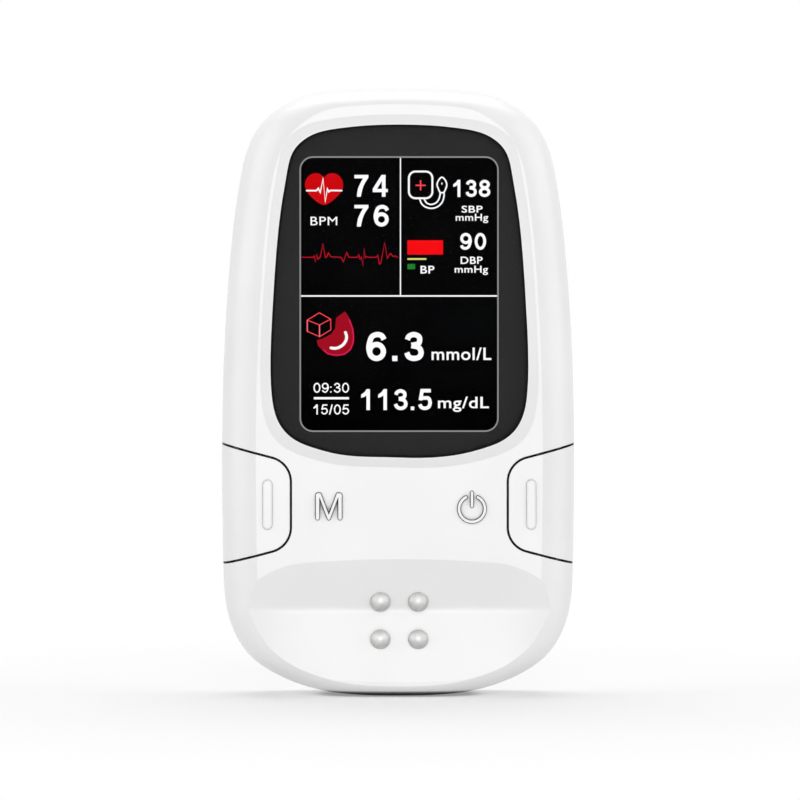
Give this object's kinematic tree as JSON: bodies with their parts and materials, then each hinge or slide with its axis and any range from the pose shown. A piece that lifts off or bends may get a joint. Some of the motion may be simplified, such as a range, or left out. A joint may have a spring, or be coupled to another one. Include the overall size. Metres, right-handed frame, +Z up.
{
  "type": "blood glucose meter",
  "caption": "Handheld health meter in a white rounded housing, with a colour screen, raised front keys, wide side keys, a finger cradle with domed electrodes and a battery door.",
  "frame": {"origin": "middle of the flat base that the meter stands on, on the plane where the two half shells part", "axes": "+Z up the meter's height, -Y out of the screen and keys, +X to the right as the screen is read"},
  "size_m": [0.0628, 0.0263, 0.108],
  "materials": {
    "white_housing": "glossy white moulded ABS",
    "white_key": "glossy white moulded ABS, same as the housing",
    "clear_window": "clear polished acrylic",
    "black_print": "black screen-printed film",
    "black_foam": "soft closed-cell foam",
    "display_glass": "dark display glass",
    "backlight_tray": "white moulded tray",
    "amber_film": "amber polyimide ribbon",
    "green_board": "green solder mask on glass laminate",
    "chip_resin": "black moulding resin",
    "cell_jacket": "printed cell jacket over metal",
    "plated_contact": "nickel-plated spring strip",
    "zinc_screw": "zinc-plated steel",
    "satin_electrode": "satin stainless steel",
    "switch_body": "black switch housing",
    "switch_stem": "cream switch stem"
  },
  "bodies": {
    "housing": {"battery_cell_left": "cell_jacket", "battery_cell_right": "cell_jacket", "board_screws": "zinc_screw", "buzzer": "chip_resin", "case_screws": "zinc_screw", "display_backlight": "backlight_tray", "display_flex": "amber_film", "display_gasket": "black_foam", "display_panel": "display_glass", "electrode_lower_left": "satin_electrode", "electrode_lower_right": "satin_electrode", "electrode_upper_left": "satin_electrode", "electrode_upper_right": "satin_electrode", "flat_contact_left": "plated_contact", "flat_contact_right": "plated_contact", "front_shell": "white_housing", "left_switch": "switch_body", "main_board": "green_board", "memory_chip": "chip_resin", "mode_switch": "switch_body", "power_chip": "chip_resin", "power_switch": "switch_body", "processor_chip": "chip_resin", "rear_shell": "white_housing", "right_switch": "switch_body", "sensor_board": "green_board", "sensor_flex": "amber_film", "spring_contact_left": "plated_contact", "spring_contact_right": "plated_contact", "window_lens": "clear_window", "window_mask": "black_print"},
    "mode_key": {"mode_key": "white_key", "mode_switch_stem": "switch_stem"},
    "power_key": {"power_key": "white_key", "power_switch_stem": "switch_stem"},
    "left_key": {"left_key": "white_key", "left_switch_stem": "switch_stem"},
    "right_key": {"right_key": "white_key", "right_switch_stem": "switch_stem"},
    "battery_cover": {"battery_cover": "white_housing"}
  },
  "joints": [
    {"name": "mode_key_press", "type": "slide", "parent": "housing", "child": "mode_key", "axis": [0, 1, 0], "range_m": [0, 0.00035], "stiffness_N_per_m": 2000},
    {"name": "power_key_press", "type": "slide", "parent": "housing", "child": "power_key", "axis": [0, 1, 0], "range_m": [0, 0.00035], "stiffness_N_per_m": 2000},
    {"name": "left_key_press", "type": "slide", "parent": "housing", "child": "left_key", "axis": [0, 1, 0], "range_m": [0, 0.0004], "stiffness_N_per_m": 2500},
    {"name": "right_key_press", "type": "slide", "parent": "housing", "child": "right_key", "axis": [0, 1, 0], "range_m": [0, 0.0004], "stiffness_N_per_m": 2500},
    {"name": "battery_cover_hinge", "type": "hinge", "parent": "housing", "child": "battery_cover", "pos_m": [0, 0.012, 0.0965], "axis": [1, 0, 0], "range_deg": [0, 80]}
  ]
}
